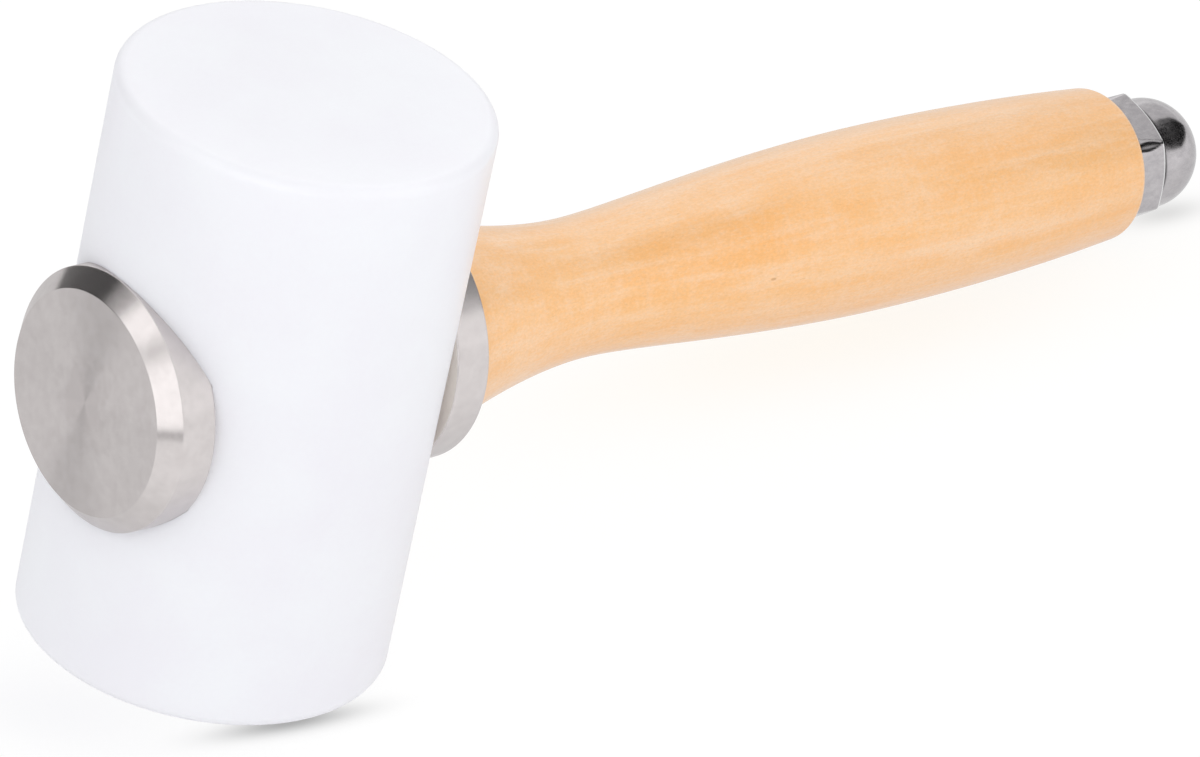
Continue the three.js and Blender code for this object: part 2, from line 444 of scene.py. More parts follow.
def make_nut(material):
    """The acorn nut: a hexagon whose chamfers leave an arc on each flat, a neck and a dome. It hangs down
    by the slack on its thread and touches the floor."""
    hex_end = NUT_BASE + NUT_HEX_HEIGHT
    dome_centre = hex_end + NUT_NECK_HEIGHT
    shell = Shell()
    rows = []

    def add(radius, place, painted_light=0.0):
        rows.append(shell.row(ring_about_x(radius, place, NUT_ROUND), painted_light))

    def add_on_hexagon(share, inset, shift, painted_light=0.0):
        """A row on the hexagon's sides, at a share of the way up between its two chamfers."""
        round_ = blended(NUT_ROUND_AT_BASE, NUT_ROUND_AT_DOME, share)

        def radius(angle):
            return hexagon_radius(angle, round_)

        def place(angle):
            low = NUT_BASE + (radius(angle) - NUT_BASE_RADIUS) * CHAMFER_SLOPE
            high = hex_end - (radius(angle) - NUT_DOME_RADIUS) * CHAMFER_SLOPE
            return blended(low, high, share) + shift

        add(lambda angle: radius(angle) - inset, place, painted_light)

    add(0, NUT_BASE + NUT_HOLE_DEPTH)
    add(NUT_HOLE_RADIUS, NUT_BASE + NUT_HOLE_DEPTH)
    add(NUT_HOLE_RADIUS, NUT_BASE + NUT_EDGE)
    add(NUT_HOLE_RADIUS + NUT_EDGE, NUT_BASE)
    add(NUT_BASE_RADIUS - NUT_EDGE, NUT_BASE)
    add(NUT_BASE_RADIUS, NUT_BASE + NUT_EDGE * CHAMFER_SLOPE / 2)
    add_on_hexagon(0, NUT_EDGE / 2, -NUT_EDGE / 2 * CHAMFER_SLOPE)
    add_on_hexagon(0, NUT_EDGE / 6, NUT_EDGE / 6)
    add_on_hexagon(0, 0, NUT_EDGE)
    for i in range(NUT_SIDE_STEPS + 1):
        share = i / NUT_SIDE_STEPS
        # Painted dark reflections, lens-shaped, down the hexagon's corners
        add_on_hexagon(share, 0, 2 * NUT_EDGE * (1 - 2 * share), corner_dark_lens(share))
    # A painted highlight along the hexagon's edge under the dome
    add_on_hexagon(1, 0, -NUT_EDGE, NUT_PAINTED_HIGHLIGHT)
    add_on_hexagon(1, NUT_EDGE / 6, -NUT_EDGE / 6, NUT_PAINTED_HIGHLIGHT)
    add_on_hexagon(1, NUT_EDGE / 2, NUT_EDGE / 2 * CHAMFER_SLOPE, NUT_PAINTED_HIGHLIGHT)
    # Painted shade in the crease at the foot of the dome
    add(NUT_DOME_RADIUS + NUT_EDGE / 3, hex_end - NUT_EDGE / 3 * CHAMFER_SLOPE, -NUT_CREASE_SHADE_DEPTH)
    add(NUT_DOME_RADIUS, hex_end + NUT_EDGE / 3, -NUT_CREASE_SHADE_DEPTH)
    add(NUT_DOME_RADIUS, hex_end + NUT_CREASE_SHADE_HEIGHT, -NUT_CREASE_SHADE_DEPTH)
    add(NUT_DOME_RADIUS, hex_end + 2 * NUT_CREASE_SHADE_HEIGHT)
    for i in range(DOME_STEPS):
        angle = math.pi / 2 * i / DOME_STEPS
        add(NUT_DOME_RADIUS * math.cos(angle), dome_centre + NUT_DOME_HEIGHT * math.sin(angle))
    add(0, dome_centre + NUT_DOME_HEIGHT)
    shell.bands(rows)
    shell.points = [(x, y, z - NUT_DROP) for x, y, z in shell.points]
    shell.piece("nut_acorn", "acorn_nut", "nut_steel", material)


def head_ring(shell, radius, height):
    """A row of points about the head's axis."""
    if radius == 0:
        return shell.row([(0, 0, height)])
    angles = [2 * math.pi * i / HEAD_COLUMNS for i in range(HEAD_COLUMNS)]
    return shell.row([(radius * math.cos(a), radius * math.sin(a), height) for a in angles])


def head_end(shell, side):
    """Rings of one striking face, from its middle to the rim's last ring before the straight side."""
    half = HEAD_LENGTH / 2
    rim_centre = HEAD_RADIUS - HEAD_RIM_RADIUS
    rings = [head_ring(shell, rim_centre * share, side * half) for share in END_RING_SHARES]
    for i in range(RIM_STEPS):
        angle = math.pi / 2 * (1 - i / RIM_STEPS)
        height = half - HEAD_RIM_RADIUS + HEAD_RIM_RADIUS * math.sin(angle)
        rings.append(head_ring(shell, rim_centre + HEAD_RIM_RADIUS * math.cos(angle), side * height))
    return rings


def head_heights():
    """Heights of the grid's rows on the head's side, with rows at both edges of the window."""
    straight = HEAD_LENGTH / 2 - HEAD_RIM_RADIUS
    window_rows = round(2 * WINDOW_HALF_HEIGHT / HEAD_ROW)
    window = [-WINDOW_HALF_HEIGHT + HEAD_ROW * i for i in range(window_rows + 1)]
    count = round((straight - WINDOW_HALF_HEIGHT) / HEAD_ROW)
    above = [blended(WINDOW_HALF_HEIGHT, straight, i / count) for i in range(1, count + 1)]
    return [-z for z in reversed(above)] + window + above


def window_edge(first, last):
    """A window's edge, once round, between its first and last row: each point's column, counted from
    the window's middle, and its row."""
    half = WINDOW_COLUMNS // 2
    across = range(-half, half)
    up = range(first, last)
    edge = [(c, first) for c in across]
    edge += [(half, j) for j in up]
    edge += [(-c, last) for c in across]
    edge += [(-half, last + first - j) for j in up]
    return edge


def side_depth(across):
    """How far the head's side lies from the head's axis along X, at a distance across."""
    return math.sqrt(HEAD_RADIUS ** 2 - across ** 2)


def seat_opening(angle):
    """The radius at which the seat opens: its own, or less where the flat floor runs out of the side."""
    run_out = side_depth(SEAT_FLOOR)
    across_share = abs(math.cos(angle))
    return SEAT_RADIUS if SEAT_RADIUS * across_share <= run_out else run_out / across_share


def seat_rows(shell, sign, outline):
    """Rows of points from a window's outline in to the bore: over the round side, down the seat's wall and
    over its floor. The outline is given as each point's turn about the head's axis and its height."""
    spokes = [(turn, height, math.atan2(height, HEAD_RADIUS * math.sin(turn))) for turn, height in outline]

    def on_side(share):
        """A row on the round side, at a share of the way from the opening to the window's edge."""
        points = []
        for turn, height, angle in spokes:
            reach = seat_opening(angle) + SEAT_EDGE
            turn_in = math.asin(reach * math.cos(angle) / HEAD_RADIUS)
            t = blended(turn_in, turn, share)
            z = blended(reach * math.sin(angle), height, share)
            points.append((sign * HEAD_RADIUS * math.cos(t), HEAD_RADIUS * math.sin(t), z))
        return shell.row(points)

    def on_wall(outset, drop):
        """A row outside the opening by an outset, and below the side by a drop, down to the floor."""
        points = []
        for _, _, angle in spokes:
            reach = seat_opening(angle) + outset
            y = reach * math.cos(angle)
            depth = side_depth(y)
            x = depth - min(drop, max(0, depth - SEAT_FLOOR))
            points.append((sign * x, y, reach * math.sin(angle)))
        return shell.row(points)

    def on_floor(x, reach):
        """A row square to the seat's axis, whose reach from that axis is a function of the angle."""
        points = []
        for _, _, angle in spokes:
            points.append((sign * x, reach(angle) * math.cos(angle), reach(angle) * math.sin(angle)))
        return shell.row(points)

    def floor_reach(angle):
        return seat_opening(angle) - SEAT_FLOOR_STEP

    rows = []
    for i in range(1, SEAT_RINGS + 1):
        rows.append(on_side((1 - i / SEAT_RINGS) ** SEAT_RINGS_POWER))
    for i in range(1, ARC_STEPS + 1):
        angle = math.pi / 2 * i / ARC_STEPS
        rows.append(on_wall(SEAT_EDGE * (1 - math.sin(angle)), SEAT_EDGE * (1 - math.cos(angle))))
    rows.append(on_wall(-SEAT_FLOOR_STEP / 2, 2 * SEAT_EDGE))
    rows.append(on_floor(SEAT_FLOOR, floor_reach))
    rows.append(on_floor(SEAT_FLOOR, lambda angle: floor_reach(angle) * SEAT_FLOOR_RING_SHARE))
    rows.append(on_floor(SEAT_FLOOR, lambda angle: HEAD_BORE_RADIUS + SEAT_EDGE))
    rows.append(on_floor(SEAT_FLOOR - SEAT_EDGE, lambda angle: HEAD_BORE_RADIUS))
    return rows


def make_head(material):
    """The head: a cylinder with soft rims, a flat-bottomed seat front and back, and a cross bore."""
    shell = Shell()
    heights = head_heights()
    side = [head_ring(shell, HEAD_RADIUS, z) for z in heights]
    shell.bands(head_end(shell, -1) + [side[0]])
    shell.bands([side[-1]] + head_end(shell, 1)[::-1])

    half_window = WINDOW_COLUMNS // 2
    rear = {i % HEAD_COLUMNS for i in range(-half_window, half_window)}
    front = {(i + HEAD_COLUMNS // 2) % HEAD_COLUMNS for i in rear}
    first = heights.index(-WINDOW_HALF_HEIGHT)
    last = heights.index(WINDOW_HALF_HEIGHT)
    for j in range(len(side) - 1):
        shell.band(side[j], side[j + 1], rear | front if first <= j < last else ())

    edge = window_edge(first, last)
    bores = []
    for sign in (1, -1):
        middle_column = 0 if sign > 0 else HEAD_COLUMNS // 2
        border = [side[j][(middle_column + sign * c) % HEAD_COLUMNS] for c, j in edge]
        outline = [(2 * math.pi * c / HEAD_COLUMNS, heights[j]) for c, j in edge]
        rows = [border] + seat_rows(shell, sign, outline)
        shell.bands(rows)
        bores.append(rows[-1])
    shell.band(*bores)
    shell.piece("head_nylon", "nylon_head", "nylon", material)


# Materials. A noise is given as how often it repeats in a millimetre, its detail and, where it isn't
# the usual half, its roughness. A grain begins with two such counts, along the handle and across it.
# A bump is given as its depth in millimetres and its strength.

NOISE_RANGE = (0.3, 0.7)


class Tree:
    """A material's or the world's node tree, with short calls for the nodes used here."""

    def __init__(self, owner):
        owner.use_nodes = True
        self.tree = owner.node_tree
        self.tree.nodes.clear()

    def node(self, kind, inputs=None, **settings):
        """A new shader node. Each input is a socket to link or a value to set."""
        made = self.tree.nodes.new("ShaderNode" + kind)
        for key, value in settings.items():
            setattr(made, key, value)
        for key, value in (inputs or {}).items():
            if isinstance(value, bpy.types.NodeSocket):
                self.tree.links.new(value, made.inputs[key])
            else:
                made.inputs[key].default_value = value
        return made

    def math(self, operation, a, b=0.0):
        return self.node("Math", {0: a, 1: b}, operation=operation).outputs[0]

    def vector_math(self, operation, a, b):
        return self.node("VectorMath", {0: a, 1: b}, operation=operation).outputs[0]

    def vector(self, x, y):
        return self.node("CombineXYZ", {0: x, 1: y}).outputs[0]

    def parts(self, vector):
        return self.node("SeparateXYZ", {0: vector}).outputs

    def place(self):
        """The point in the tool's frame, in millimetres."""
        inputs = {
            "Vector": self.node("TexCoord").outputs["Object"],
            "Location": TOOL.translation,
            "Rotation": TOOL.to_euler(),
            "Scale": (MM, MM, MM),
        }
        return self.node("Mapping", inputs, vector_type="TEXTURE").outputs[0]

    def round_the_handle(self):
        """The direction round the handle's axis, for the marks of the lathe."""
        _, y, z = self.parts(self.place())
        across = self.node("CombineXYZ", {1: self.math("MULTIPLY", z, -1.0), 2: y}).outputs[0]
        inputs = {"Vector": across, "Rotation": TOOL.to_euler()}
        laid = self.node("Mapping", inputs, vector_type="NORMAL").outputs[0]
        settings = {"convert_from": "OBJECT", "convert_to": "WORLD"}
        return self.node("VectorTransform", {0: laid}, **settings).outputs[0]

    def distance(self, a, b):
        """The distance of a point from an axis, from its two places across that axis."""
        squares = self.math("ADD", self.math("MULTIPLY", a, a), self.math("MULTIPLY", b, b))
        return self.math("SQRT", squares)

    def weighted(self, *terms):
        """The sum of several values, each times its weight."""
        products = [self.math("MULTIPLY", value, weight) for value, weight in terms]
        total = products[0]
        for product in products[1:]:
            total = self.math("ADD", total, product)
        return total

    def noise(self, vector, scale, detail, roughness=0.5):
        inputs = {"Vector": vector, "Scale": scale, "Detail": detail, "Roughness": roughness}
        return self.node("TexNoise", inputs).outputs["Fac"]

    def grain(self, place, along, across, detail, roughness=0.5):
        """Noise that is stretched along the handle."""
        stretched = self.vector_math("MULTIPLY", place, (along, across, across))
        return self.noise(stretched, 1.0, detail, roughness)

    def spread(self, value, low, high, to_low=0.0, to_high=1.0, kind="LINEAR"):
        """A value that goes from to_low to to_high while the first goes from low to high."""
        inputs = {"Value": value, "From Min": low, "From Max": high, "To Min": to_low, "To Max": to_high}
        return self.node("MapRange", inputs, interpolation_type=kind).outputs[0]

    def from_noise(self, noise, low=0.0, high=1.0):
        """A value that goes from low to high over the range in which most of a noise lies."""
        return self.spread(noise, *NOISE_RANGE, low, high)

    def mixed(self, share, a, b):
        """The colour at a share of the way from one colour to another."""
        return self.node("Mix", {0: share, 6: a, 7: b}, data_type="RGBA").outputs[2]

    def multiplied(self, a, b):
        """The product of two colours."""
        inputs = {0: 1.0, 6: a, 7: b}
        return self.node("Mix", inputs, data_type="RGBA", blend_type="MULTIPLY").outputs[2]

    def level(self, share, a, b):
        """The number at a share of the way from one number to another."""
        return self.node("Mix", {0: share, 2: a, 3: b}).outputs[0]

    def bump(self, height, depth, strength, under=None):
        """A bumped normal, on top of another where one lies under it."""
        inputs = {"Height": height, "Distance": depth * MM, "Strength": strength}
        if under:
            inputs["Normal"] = under
        return self.node("Bump", inputs).outputs[0]

    def surface(self, inputs):
        shader = self.node("BsdfPrincipled", inputs)
        self.node("OutputMaterial", {"Surface": shader.outputs[0]})


def colour(red, green, blue):
    return (red, green, blue, 1.0)


WHITE = colour(1, 1, 1)

NYLON_CLEAR = colour(0.905, 0.915, 0.97)
NYLON_MILKY = colour(0.885, 0.88, 0.94)
NYLON_CLOUD = (0.06, 3.0)
NYLON_CLOUD_SHARE = 0.8
NYLON_GRAIN = (1.4, 2.0)
NYLON_SHADE_RANGE = (0.35, 0.65)
NYLON_MARKS_PER_MM = 3.0
NYLON_MARK_DETAIL = 2.0
NYLON_MARK_BUMP = (0.02, 0.25)
NYLON_PITS = (5.0, 2.0)
NYLON_PIT_BUMP = (0.01, 0.2)
NYLON_ROUGHNESS = (0.36, 0.46)
NYLON_SCATTER = 6.0


def nylon_material():
    """White turned nylon: milky, with faint cloudiness and fine tool marks round it."""
    material = bpy.data.materials.new("nylon_white")
    tree = Tree(material)
    place = tree.place()
    x, y, z = tree.parts(place)
    cloud = tree.noise(place, *NYLON_CLOUD)
    grain = tree.noise(place, *NYLON_GRAIN)
    shade = tree.weighted((cloud, NYLON_CLOUD_SHARE), (grain, 1 - NYLON_CLOUD_SHARE))
    rings = tree.vector(tree.distance(x, y), z)
    marks = tree.noise(rings, NYLON_MARKS_PER_MM, NYLON_MARK_DETAIL)
    marked = tree.bump(marks, *NYLON_MARK_BUMP)
    pits = tree.noise(place, *NYLON_PITS)
    tree.surface({
        "Base Color": tree.mixed(tree.spread(shade, *NYLON_SHADE_RANGE), NYLON_MILKY, NYLON_CLEAR),
        "Roughness": tree.from_noise(marks, *NYLON_ROUGHNESS),
        "IOR": 1.53,
        "Subsurface Weight": 0.3,
        "Subsurface Radius": (1.0, 1.0, 1.0),
        "Subsurface Scale": NYLON_SCATTER * MM,
        "Normal": tree.bump(pits, *NYLON_PIT_BUMP, marked),
    })
    return material


STEEL_LIGHT = colour(0.72, 0.68, 0.675)
STEEL_DARK = colour(0.6, 0.56, 0.555)
# Painted light: the paler, warmer colour of the discs' backs fills the shaded gap behind them
STEEL_BACK_PAINTED_LIGHT = colour(0.93, 0.87, 0.81)
STEEL_ROUGHNESS = 0.27
STEEL_BACK_ROUGHNESS = 0.57
STEEL_BACK_FADE = 0.1
STEEL_MARKS_PER_MM = 1.8
STEEL_MARK_DETAIL = 2.0
STEEL_MARK_WEIGHT = 0.03
SMEAR = (0.5, 4.0, 0.6)
SMEAR_WEIGHT = 0.7
SMEAR_WANDER = 6.0
SMEAR_MIDDLE = (2.5, 11.0)
SMEAR_MIDDLE_WEIGHT = -0.42
STEEL_SHADE_RANGE = (0.1, 0.7)


def turned_steel_material():
    """Stainless steel from the lathe: brushed round the axis, with a smear where the tool left the
    middle. The discs' backs are parted off, which leaves them duller, and their colour is painted paler and
    warmer, a painted light in the shaded gap behind each disc."""
    material = bpy.data.materials.new("steel_turned")
    tree = Tree(material)
    place = tree.place()
    x, y, z = tree.parts(place)
    radius = tree.distance(y, z)
    marks = tree.noise(tree.vector(radius, x), STEEL_MARKS_PER_MM, STEEL_MARK_DETAIL)
    smear = tree.noise(place, *SMEAR)
    wandering = tree.math("ADD", radius, tree.math("MULTIPLY", smear, SMEAR_WANDER))
    centre = tree.spread(wandering, *SMEAR_MIDDLE, 1.0, 0.0, "SMOOTHSTEP")
    shade = tree.weighted((marks, STEEL_MARK_WEIGHT), (centre, SMEAR_MIDDLE_WEIGHT), (smear, SMEAR_WEIGHT))
    face = tree.mixed(tree.spread(shade, *STEEL_SHADE_RANGE), STEEL_DARK, STEEL_LIGHT)
    from_middle = tree.math("ABSOLUTE", x)
    # Towards the discs' backs: rougher, and painted paler and warmer, a painted light in the shaded gap
    # there
    back = tree.spread(from_middle, DISC_BACK, DISC_BACK + STEEL_BACK_FADE, 1.0, 0.0)
    tree.surface({
        "Base Color": tree.mixed(back, face, STEEL_BACK_PAINTED_LIGHT),
        "Metallic": 1.0,
        "Roughness": tree.spread(back, 0.0, 1.0, STEEL_ROUGHNESS, STEEL_BACK_ROUGHNESS),
        "Anisotropic": 0.95,
        "Anisotropic Rotation": 0.25,
        "Tangent": tree.round_the_handle(),
    })
    return material


NUT_LIGHT = colour(0.565, 0.54, 0.55)
NUT_DARK = colour(0.445, 0.425, 0.44)
NUT_HIGHLIGHT = colour(0.95, 0.95, 0.95)
NUT_PAINTED_DARK = colour(0.02, 0.019, 0.02)
NUT_PAINTED_LIGHT_START = 0.2
NUT_HIGHLIGHT_STRENGTH = 0.8
NUT_SCUFFING = (0.66, 1.1, 4.0, 0.65)
NUT_ROUGHNESS = (0.14, 0.22)
NUT_FINE = (9.0, 3.0)
NUT_FINE_BUMP = (0.01, 0.2)
NUT_DENTS_PER_MM = 0.45
NUT_DENT_SHARE = 0.16
NUT_DENT_BUMP = (0.03, 0.4)


def nut_steel_material():
    """Tumbled stainless steel with small dents and scuffs. Its mesh attribute adds a painted highlight on
    the hexagon's edge under the dome, painted shade in the crease and painted dark reflections down the
    corners.
    """
    material = bpy.data.materials.new("steel_tumbled")
    tree = Tree(material)
    place = tree.place()
    scuffs = tree.grain(place, *NUT_SCUFFING)
    fine = tree.noise(place, *NUT_FINE)
    dents = tree.node("TexVoronoi", {"Vector": place, "Scale": NUT_DENTS_PER_MM}).outputs["Distance"]
    dented = tree.bump(tree.spread(dents, 0.0, NUT_DENT_SHARE), *NUT_DENT_BUMP)
    # The mesh's attribute carries the painted highlight above 0, and the painted shade and painted dark
    # reflections below 0
    painted_light = tree.node("Attribute", attribute_name="painted_light").outputs["Fac"]
    highlighted = tree.spread(painted_light, NUT_PAINTED_LIGHT_START, NUT_PAINTED_HIGHLIGHT, 0.0, NUT_HIGHLIGHT_STRENGTH)
    painted_dark = tree.spread(painted_light, -NUT_PAINTED_LIGHT_START, -NUT_PAINTED_DARK_DEPTH)
    base = tree.mixed(tree.from_noise(scuffs), NUT_DARK, NUT_LIGHT)
    base = tree.mixed(highlighted, base, NUT_HIGHLIGHT)
    # Painted highlight: the near-white colour on the hexagon's edge under the dome
    tree.surface({
        # Painted shade and painted dark reflections: the near-black colour in the crease and down the
        # corners
        "Base Color": tree.mixed(painted_dark, base, NUT_PAINTED_DARK),
        "Metallic": 1.0,
        "Roughness": tree.from_noise(scuffs, *NUT_ROUGHNESS),
        "Normal": tree.bump(fine, *NUT_FINE_BUMP, dented),
    })
    return material


STUD_LIGHT = colour(0.55, 0.55, 0.56)
STUD_DARK = colour(0.4, 0.4, 0.42)
STUD_SPANGLES_PER_MM = 0.7
STUD_SPANGLE_SHARE = 0.4
STUD_DRAWN = (0.225, 4.5, 3.0)
STUD_DRAWN_BUMP = (0.02, 0.2)
STUD_ROUGHNESS = (0.32, 0.46)


def stud_material():
    """Zinc-grey rolled steel with a soft spangle."""
    material = bpy.data.materials.new("steel_zinc")
    tree = Tree(material)
    place = tree.place()
    cells = tree.node("TexVoronoi", {"Vector": place, "Scale": STUD_SPANGLES_PER_MM}).outputs["Color"]
    spangle = tree.parts(cells)[0]
    drawn = tree.grain(place, *STUD_DRAWN)
    shade = tree.weighted((spangle, STUD_SPANGLE_SHARE), (drawn, 1 - STUD_SPANGLE_SHARE))
    tree.surface({
        "Base Color": tree.mixed(shade, STUD_DARK, STUD_LIGHT),
        "Metallic": 1.0,
        "Roughness": tree.from_noise(drawn, *STUD_ROUGHNESS),
        "Normal": tree.bump(drawn, *STUD_DRAWN_BUMP),
    })
    return material


WOOD_CREAM = colour(0.96, 0.655, 0.415)
WOOD_PALE = colour(0.95, 0.585, 0.31)
WOOD_HONEY = colour(0.95, 0.545, 0.24)
WOOD_AMBER = colour(0.95, 0.475, 0.15)
WOOD_PORE = colour(0.62, 0.3, 0.11)
WOOD_BROAD = (0.02, 0.09, 3.0, 0.55)
WOOD_BROAD_RANGE = (0.36, 0.6)

# Soft patches in the wood: the middle and the reach of each in millimetres, its colour and how strong it is.
# The first amber patch is a painted darker reflection on the handle's -Y side, and the cream patches at -13
# and -12 mm across are a painted pale highlight band along that side; the others vary the wood's tone.
WOOD_PATCHES_AND_PAINTED_LIGHT = (
    # A painted darker reflection on the handle's -Y side
    ((74, -9, 7), (24, 7, 6), WOOD_AMBER, 1.0),
    ((128, -6, 10), (24, 6, 5), WOOD_AMBER, 0.55),
    ((48, 9, -5), (20, 7, 6), WOOD_AMBER, 0.7),
    ((112, 10, -6), (26, 7, 5), WOOD_AMBER, 0.7),
    # A painted pale highlight band along the handle's -Y side, in two patches
    ((116, -13, 1.6), (34, 8, 2.2), WOOD_CREAM, 0.75),
    ((36, -12, 2.6), (9, 6, 1.6), WOOD_CREAM, 0.6),
    ((90, 4, 13), (30, 4, 6), WOOD_CREAM, 0.5),
)
PATCH_RAGGED = (0.09, 0.3, 3.0, 0.6)
PATCH_RAGGED_WEIGHT = 1.2
PATCH_FADE = (0.8, 1.7)

# Growth rings round the pith
PITH = (0, 38, -61)
RING_SPACING = 2.4
RING_WANDER = (0.012, 0.03, 2.0)
RING_WANDER_REACH = 9.0
RING_POWER = 5.0
RING_STRENGTH = 0.16

# Layers of the figure, each a grain with its tints. A tint grows from the first level to the second,
# where it has the strength given.
WOOD_LAYERS = {
    "streaks": ((0.022, 0.5, 3.0, 0.6), ((0.5, 0.68, 0.5, WOOD_CREAM), (0.48, 0.3, 0.4, WOOD_AMBER))),
    "blotches": ((0.08, 0.3, 4.0, 0.62), ((0.5, 0.72, 0.4, WOOD_AMBER), (0.5, 0.3, 0.4, WOOD_CREAM))),
    "ripple": ((0.55, 0.16, 2.0), ((0.5, 0.7, 0.22, WOOD_CREAM),)),
    "stipple": ((1.3, 2.4, 3.0, 0.75), ((0.5, 0.68, 0.35, WOOD_AMBER), (0.48, 0.32, 0.3, WOOD_CREAM))),
    "fibres": ((0.3, 4.5, 3.0, 0.6), ((0.52, 0.78, 0.3, WOOD_AMBER),)),
    "cells": ((1.0, 6.0, 1.0), ((0.66, 0.76, 0.22, WOOD_PORE),)),
}

PORES_PER_MM = (0.05, 0.12, 0.12)
PORE_EDGE = (0.018, 0.03)
PORE_STRENGTH = 0.7
WOOD_DUST = (2.0, 3.4, 2.0, 0.7)
WOOD_DUST_LEVELS = (0.955, 1.055)
WOOD_ROUGHNESS = (0.42, 0.54)
WOOD_FIBRE_BUMP = (0.03, 0.25)
WOOD_WAVES = (0.35, 2.0)
WOOD_WAVE_BUMP = (0.06, 0.2)


def with_patches_and_painted_light(tree, place, base):
    """The wood's colour with its soft patches, among them a painted highlight band and a painted darker
    reflection, whose edges are ragged.
    """
    ragged = tree.grain(place, *PATCH_RAGGED)
    for centre, reach, tint, strength in WOOD_PATCHES_AND_PAINTED_LIGHT:
        off = tree.vector_math("SUBTRACT", place, centre)
        scaled = tree.vector_math("MULTIPLY", off, [1 / r for r in reach])
        away = tree.node("VectorMath", {0: scaled}, operation="LENGTH").outputs["Value"]
        away = tree.math("ADD", away, tree.math("MULTIPLY", ragged, PATCH_RAGGED_WEIGHT))
        base = tree.mixed(tree.spread(away, *PATCH_FADE, strength, 0.0), base, tint)
    return base


def with_rings(tree, place, base):
    """The wood's colour with faint growth rings, each darker towards its outside."""
    _, y, z = tree.parts(tree.vector_math("SUBTRACT", place, PITH))
    wander = tree.math("MULTIPLY", tree.grain(place, *RING_WANDER), RING_WANDER_REACH)
    from_pith = tree.math("ADD", tree.distance(y, z), wander)
    ring = tree.math("FRACT", tree.math("DIVIDE", from_pith, RING_SPACING))
    late = tree.math("POWER", ring, RING_POWER)
    return tree.mixed(tree.math("MULTIPLY", late, RING_STRENGTH), base, WOOD_AMBER)


def with_pores(tree, place, base):
    """The wood's colour with a few dark pores."""
    vector = tree.vector_math("MULTIPLY", place, PORES_PER_MM)
    pores = tree.node("TexVoronoi", {"Vector": vector, "Scale": 1.0}).outputs["Distance"]
    return tree.mixed(tree.spread(pores, *PORE_EDGE, PORE_STRENGTH, 0.0), base, WOOD_PORE)


def wood_material():
    """Pale lacquered hardwood: amber and cream patches along the grain, some of them a painted highlight
    band and a painted darker reflection, faint growth rings, a ripple across the grain, short fibres and a
    few pores."""
    material = bpy.data.materials.new("wood_pale")
    tree = Tree(material)
    place = tree.place()
    broad = tree.grain(place, *WOOD_BROAD)
    base = tree.mixed(tree.spread(broad, *WOOD_BROAD_RANGE), WOOD_PALE, WOOD_HONEY)
    base = with_patches_and_painted_light(tree, place, base)
    base = with_rings(tree, place, base)
    layers = {}
    for name, (grain, tints) in WOOD_LAYERS.items():
        layers[name] = tree.grain(place, *grain)
        for start, full, strength, tint in tints:
            base = tree.mixed(tree.spread(layers[name], start, full, 0.0, strength), base, tint)
    base = with_pores(tree, place, base)
    dust = tree.grain(place, *WOOD_DUST)
    waves = tree.noise(place, *WOOD_WAVES)
    tree.surface({
        "Base Color": tree.vector_math("MULTIPLY", base, tree.from_noise(dust, *WOOD_DUST_LEVELS)),
        "Roughness": tree.from_noise(layers["fibres"], *WOOD_ROUGHNESS),
        "IOR": 1.5,
        "Specular IOR Level": 0.25,
        "Coat Weight": 0.85,
        "Coat Roughness": 0.22,
        "Normal": tree.bump(waves, *WOOD_WAVE_BUMP, tree.bump(layers["fibres"], *WOOD_FIBRE_BUMP)),
    })
    return material


# The studio, in metres

FLOOR_HALF = 6.0
FLOOR_DROP = 0.00002
FLOOR_WHITE = colour(0.9, 0.9, 0.9)

# The floor in a mirror: its levels on the camera's side of the tool and beyond, and how far the change takes
FLOOR_MIRRORED_NEAR = 1.08
FLOOR_MIRRORED_FAR = 0.82
FLOOR_MIRRORED_REACH = 0.06

# The floor as the camera sees it: a glow of its own, and a little of the light that falls on it
FLOOR_GLOW = 0.94
FLOOR_LIT = colour(0.08, 0.08, 0.08)

# Painted shadows and painted reflections on the floor, as soft ovals: the middle and the two reaches in
# millimetres,
# # the turn in degrees, and the share of red, green and blue light that each takes. The first two are
# painted shadows under the head and the nut, the third a painted grey reflection of the head, the fourth a
# painted warm reflection of the handle.
FLOOR_PAINTED_SHADOWS_AND_REFLECTIONS = (
    ((-73.4, -18.0), (6.4, 1.4), -21.9, (0.6, 0.6, 0.6)),
    ((91.9, -4.6), (4.2, 1.8), -18.2, (0.25, 0.25, 0.25)),
    ((-97.1, 2.8), (10.9, 6.2), 122.5, (0.06, 0.06, 0.045)),
    ((36.1, 2.6), (31.1, 9.0), -16.3, (0.01, 0.045, 0.1)),
)

# The world's level at the horizon and overhead, and the even level that metal mirrors
WORLD_LIGHT_LOW = 1.16
WORLD_LIGHT_HIGH = 0.75
WORLD_SHEEN = 0.95

# Soft lamps: the node that each lights, its azimuth, elevation and distance from there, its size and its
# level. Azimuths and elevations are in degrees, here and below.
LAMPS = (
    ("soft_handle", "acorn_nut", -105, 40, 0.4, 0.25, 0.05),
    ("soft_head", "nylon_head", -130, 40, 0.25, 0.12, 0.065),
)

